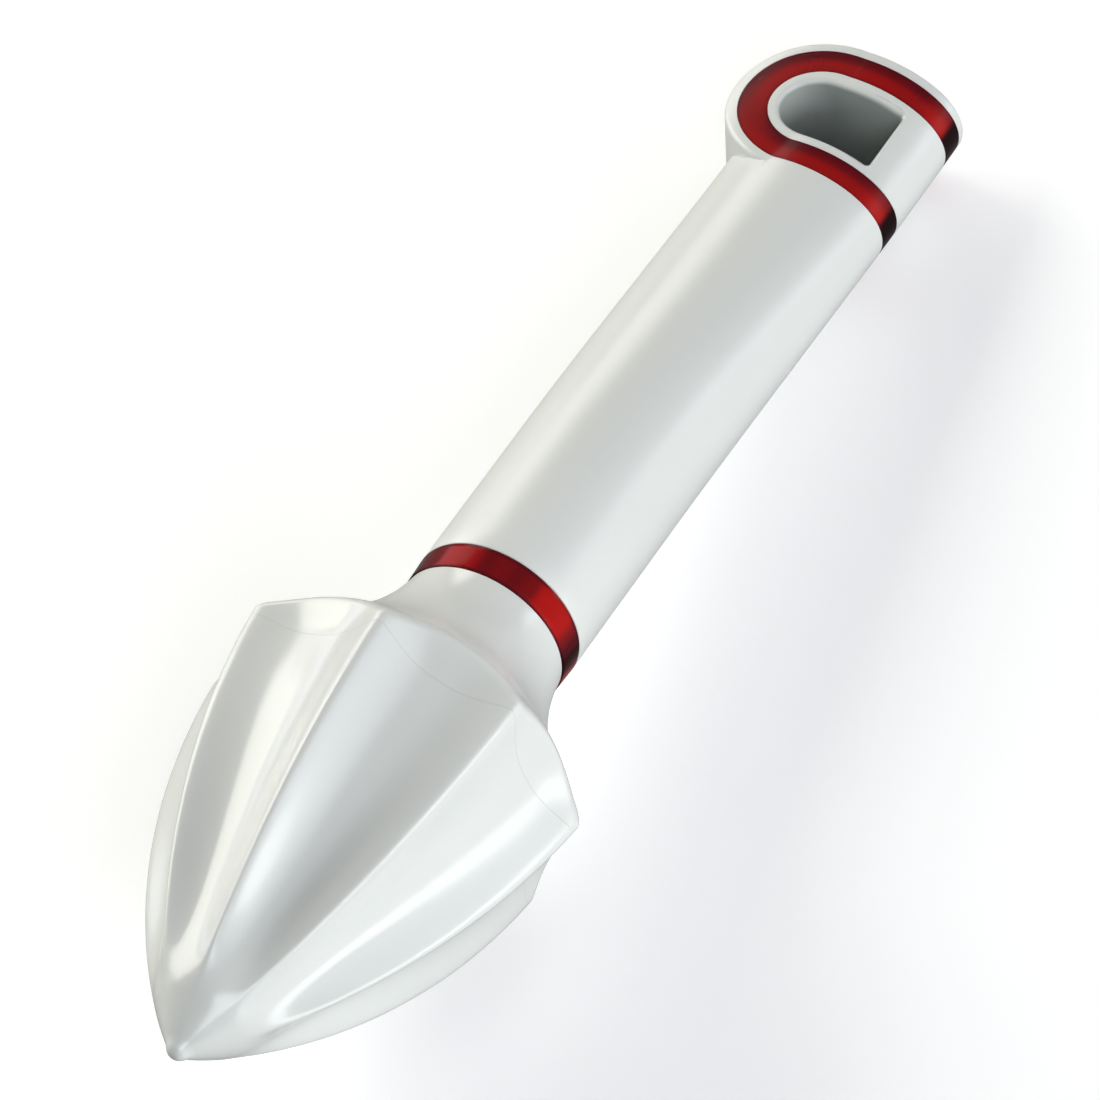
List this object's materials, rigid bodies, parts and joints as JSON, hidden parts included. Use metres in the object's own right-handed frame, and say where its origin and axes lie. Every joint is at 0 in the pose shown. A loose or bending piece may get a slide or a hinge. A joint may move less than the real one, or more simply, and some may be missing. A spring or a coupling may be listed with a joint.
{
  "type": "citrus reamer",
  "caption": "Hand citrus reamer with a fluted pressing cone, a concave neck, a tubular handle and a D-shaped hanging hole framed by a translucent inlay.",
  "frame": {"origin": "on the long axis, halfway between the cone's tip and the tail; the centre of the bounding box along X", "axes": "+X along the long axis from the cone's tip to the tail, +Y towards the rounded end of the hanging hole, +Z along the hole"},
  "size_m": [0.191, 0.0532, 0.0532],
  "materials": {
    "cone_white": "glossy white",
    "neck_white": "glossy white",
    "ring_red": "translucent glossy red",
    "shell_white": "glossy white",
    "inlay_red": "translucent glossy red",
    "core_white": "glossy white"
  },
  "bodies": {
    "root": {"reamer_cone": "cone_white", "neck_cap": "neck_white", "front_ring": "ring_red", "handle_shell": "shell_white", "loop_inlay": "inlay_red", "loop_core": "core_white"}
  },
  "joints": []
}
